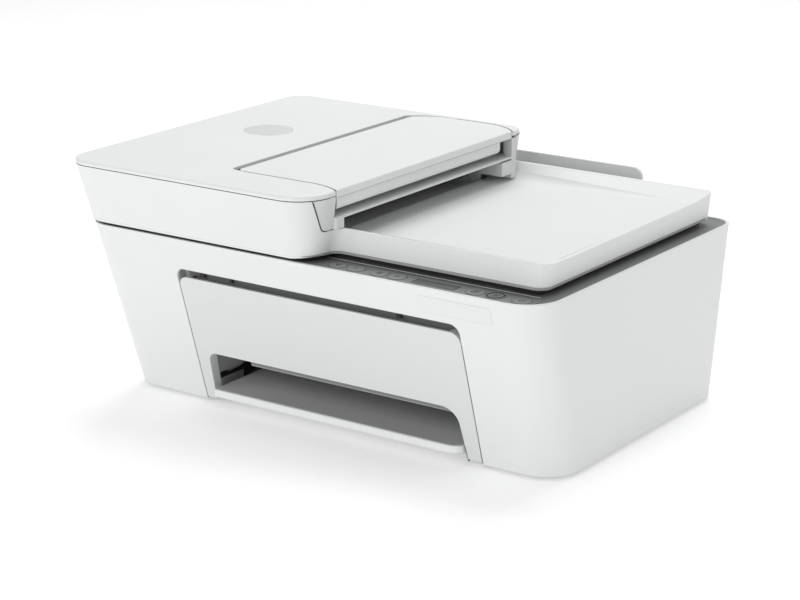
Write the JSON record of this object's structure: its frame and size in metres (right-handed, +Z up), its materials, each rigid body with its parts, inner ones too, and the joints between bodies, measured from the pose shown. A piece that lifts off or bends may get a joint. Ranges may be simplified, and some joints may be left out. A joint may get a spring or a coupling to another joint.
{
  "type": "inkjet printer",
  "caption": "White all-in-one inkjet printer: tapered base with drop-down front door and paper tray, flatbed scanner lid with sheet feeder, control panel, rear paper support.",
  "frame": {"origin": "middle of the footprint box, on the surface the feet stand on", "axes": "+X to the right of the printer seen from its front, +Y to its back, +Z up"},
  "size_m": [0.4269, 0.3306, 0.2],
  "materials": {
    "white_shell": "fine moulded texture",
    "grey_trim": "fine moulded texture",
    "grey_inner": "moulded",
    "dark_parts": "moulded",
    "button_plastic": "satin",
    "foam": "foam backed film",
    "badge_metal": "satin",
    "glass": "polished",
    "display": "gloss",
    "rubber": "ground",
    "steel": "plated",
    "brass": "turned",
    "acetal": "natural acetal",
    "board": "solder mask"
  },
  "bodies": {
    "base": {"base_pan": "grey_inner", "feet": "rubber", "outer_shell": "white_shell", "scanner_deck": "grey_trim", "scanner_glasses": "glass", "control_panel": "grey_trim", "display_window": "display", "circuit_boards": "board", "scanner_bed": "dark_parts", "guide_rods": "steel", "lid_hinges": "grey_inner", "hinge_pins": "steel", "front_frame": "grey_inner", "print_chassis": "steel", "drive_motors": "steel", "carriage_belt": "rubber", "platen": "dark_parts", "service_station": "grey_inner", "encoder_strip": "glass", "rear_sockets": "dark_parts", "power_supply": "dark_parts", "rear_chute": "grey_inner", "screws": "steel"},
    "lid": {"lid_shell": "white_shell", "backing_pad": "foam", "feeder_chassis": "grey_trim", "top_plate": "white_shell", "badge": "badge_metal"},
    "cover": {"feeder_cover": "white_shell"},
    "door": {"front_door": "white_shell"},
    "tray": {"output_tray": "white_shell"},
    "carriage": {"carriage": "dark_parts", "black_cartridge": "dark_parts", "colour_cartridge": "grey_inner"},
    "black_latch": {"black_cartridge_latch": "grey_inner"},
    "colour_latch": {"colour_cartridge_latch": "grey_inner"},
    "feed": {"feed_roller": "rubber", "feed_gear": "acetal"},
    "exit": {"exit_roller": "rubber", "exit_gear": "acetal"},
    "idler": {"idler_gear": "acetal"},
    "pinion": {"motor_pinion": "brass"},
    "stars": {"star_wheels": "steel"},
    "drive_pulley": {"drive_pulley": "brass"},
    "idler_pulley": {"idler_pulley": "acetal"},
    "scan": {"scan_bar": "dark_parts"},
    "support": {"paper_support": "grey_trim"},
    "puller": {"support_puller": "grey_inner"},
    "guide": {"width_guide": "grey_inner"},
    "pick": {"feeder_pick_roller": "rubber"},
    "turn": {"feeder_turn_roller": "rubber"},
    "press": {"feeder_press_roller": "foam"},
    "feeder_exit": {"feeder_exit_roller": "rubber"},
    "wireless": {"wireless_button": "button_plastic"},
    "information": {"information_button": "button_plastic"},
    "resume": {"resume_button": "button_plastic"},
    "cancel": {"cancel_button": "button_plastic"},
    "copy_mono": {"copy_mono_button": "button_plastic"},
    "copy_colour": {"copy_colour_button": "button_plastic"},
    "power": {"power_button": "button_plastic"}
  },
  "joints": [
    {"name": "lid_hinge", "type": "hinge", "parent": "base", "child": "lid", "pos_m": [0, 0.141, 0.157], "axis": [-1, 0, 0], "range_deg": [0, 60]},
    {"name": "cover_hinge", "type": "hinge", "parent": "lid", "child": "cover", "pos_m": [-0.07935, 0, 0.196], "axis": [0, -1, 0], "range_deg": [0, 70]},
    {"name": "door_hinge", "type": "hinge", "parent": "base", "child": "door", "pos_m": [0, -0.10134, 0.013], "axis": [1, 0, 0], "range_deg": [0, 52]},
    {"name": "tray_slide", "type": "slide", "parent": "base", "child": "tray", "axis": [0, -1, 0], "range_m": [0, 0.075]},
    {"name": "carriage_slide", "type": "slide", "parent": "base", "child": "carriage", "axis": [1, 0, 0], "range_m": [-0.255, 0]},
    {"name": "black_latch_hinge", "type": "hinge", "parent": "carriage", "child": "black_latch", "pos_m": [0.116, 0.013, 0.062], "axis": [1, 0, 0], "range_deg": [0, 30]},
    {"name": "colour_latch_hinge", "type": "hinge", "parent": "carriage", "child": "colour_latch", "pos_m": [0.16, 0.013, 0.062], "axis": [1, 0, 0], "range_deg": [0, 30]},
    {"name": "drive_pulley_spin", "type": "hinge", "parent": "base", "child": "drive_pulley", "pos_m": [0.184, 0.087, 0.077], "axis": [0, 0, 1], "continuous": true},
    {"name": "idler_pulley_spin", "type": "hinge", "parent": "base", "child": "idler_pulley", "pos_m": [-0.18, 0.087, 0.077], "axis": [0, 0, 1], "continuous": true},
    {"name": "feed_roller_spin", "type": "hinge", "parent": "base", "child": "feed", "pos_m": [0, 0.06, 0.034], "axis": [1, 0, 0], "continuous": true},
    {"name": "idler_gear_spin", "type": "hinge", "parent": "base", "child": "idler", "pos_m": [-0.195, 0.03212, 0.03658], "axis": [1, 0, 0], "continuous": true},
    {"name": "exit_roller_spin", "type": "hinge", "parent": "base", "child": "exit", "pos_m": [0, 0.008, 0.03], "axis": [1, 0, 0], "continuous": true},
    {"name": "motor_pinion_spin", "type": "hinge", "parent": "base", "child": "pinion", "pos_m": [-0.195, 0.06, 0.055], "axis": [1, 0, 0], "continuous": true},
    {"name": "star_wheel_spin", "type": "hinge", "parent": "base", "child": "stars", "pos_m": [0, 0.008, 0.0394], "axis": [1, 0, 0], "continuous": true},
    {"name": "scan_bar_slide", "type": "slide", "parent": "base", "child": "scan", "axis": [1, 0, 0], "range_m": [0, 0.31]},
    {"name": "support_tilt", "type": "hinge", "parent": "base", "child": "support", "pos_m": [0, 0.1615, 0.125], "axis": [-1, 0, 0], "range_deg": [0, 20]},
    {"name": "support_pull", "type": "slide", "parent": "support", "child": "puller", "axis": [0, 0, 1], "range_m": [0, 0.028]},
    {"name": "width_guide_slide", "type": "slide", "parent": "base", "child": "guide", "axis": [1, 0, 0], "range_m": [-0.06, 0]},
    {"name": "pick_roller_spin", "type": "hinge", "parent": "lid", "child": "pick", "pos_m": [-0.032, 0, 0.187], "axis": [0, 1, 0], "continuous": true},
    {"name": "turn_roller_spin", "type": "hinge", "parent": "lid", "child": "turn", "pos_m": [-0.118, 0, 0.173], "axis": [0, 1, 0], "continuous": true},
    {"name": "press_roller_spin", "type": "hinge", "parent": "lid", "child": "press", "pos_m": [-0.166, 0, 0.161], "axis": [0, 1, 0], "continuous": true},
    {"name": "feeder_exit_spin", "type": "hinge", "parent": "lid", "child": "feeder_exit", "pos_m": [-0.012, 0, 0.167], "axis": [0, 1, 0], "continuous": true},
    {"name": "wireless_press", "type": "slide", "parent": "base", "child": "wireless", "axis": [0, 0, -1], "range_m": [0, 0.0008], "stiffness_N_per_m": 300},
    {"name": "information_press", "type": "slide", "parent": "base", "child": "information", "axis": [0, 0, -1], "range_m": [0, 0.0008], "stiffness_N_per_m": 300},
    {"name": "resume_press", "type": "slide", "parent": "base", "child": "resume", "axis": [0, 0, -1], "range_m": [0, 0.0008], "stiffness_N_per_m": 300},
    {"name": "cancel_press", "type": "slide", "parent": "base", "child": "cancel", "axis": [0, 0, -1], "range_m": [0, 0.0008], "stiffness_N_per_m": 300},
    {"name": "copy_mono_press", "type": "slide", "parent": "base", "child": "copy_mono", "axis": [0, 0, -1], "range_m": [0, 0.0008], "stiffness_N_per_m": 300},
    {"name": "copy_colour_press", "type": "slide", "parent": "base", "child": "copy_colour", "axis": [0, 0, -1], "range_m": [0, 0.0008], "stiffness_N_per_m": 300},
    {"name": "power_press", "type": "slide", "parent": "base", "child": "power", "axis": [0, 0, -1], "range_m": [0, 0.0008], "stiffness_N_per_m": 300}
  ],
  "couplings": [
    {"joint": "idler_gear_spin", "follows": "feed_roller_spin", "ratio": -1.1538},
    {"joint": "exit_roller_spin", "follows": "feed_roller_spin", "ratio": 1.25},
    {"joint": "motor_pinion_spin", "follows": "feed_roller_spin", "ratio": -2.5},
    {"joint": "star_wheel_spin", "follows": "feed_roller_spin", "ratio": -1.5625},
    {"joint": "drive_pulley_spin", "follows": "carriage_slide", "rad_per_m": 188.68},
    {"joint": "idler_pulley_spin", "follows": "carriage_slide", "rad_per_m": 188.68},
    {"joint": "pick_roller_spin", "follows": "turn_roller_spin", "ratio": -2.1538},
    {"joint": "press_roller_spin", "follows": "turn_roller_spin", "ratio": 2},
    {"joint": "feeder_exit_spin", "follows": "turn_roller_spin", "ratio": 2.3333}
  ]
}
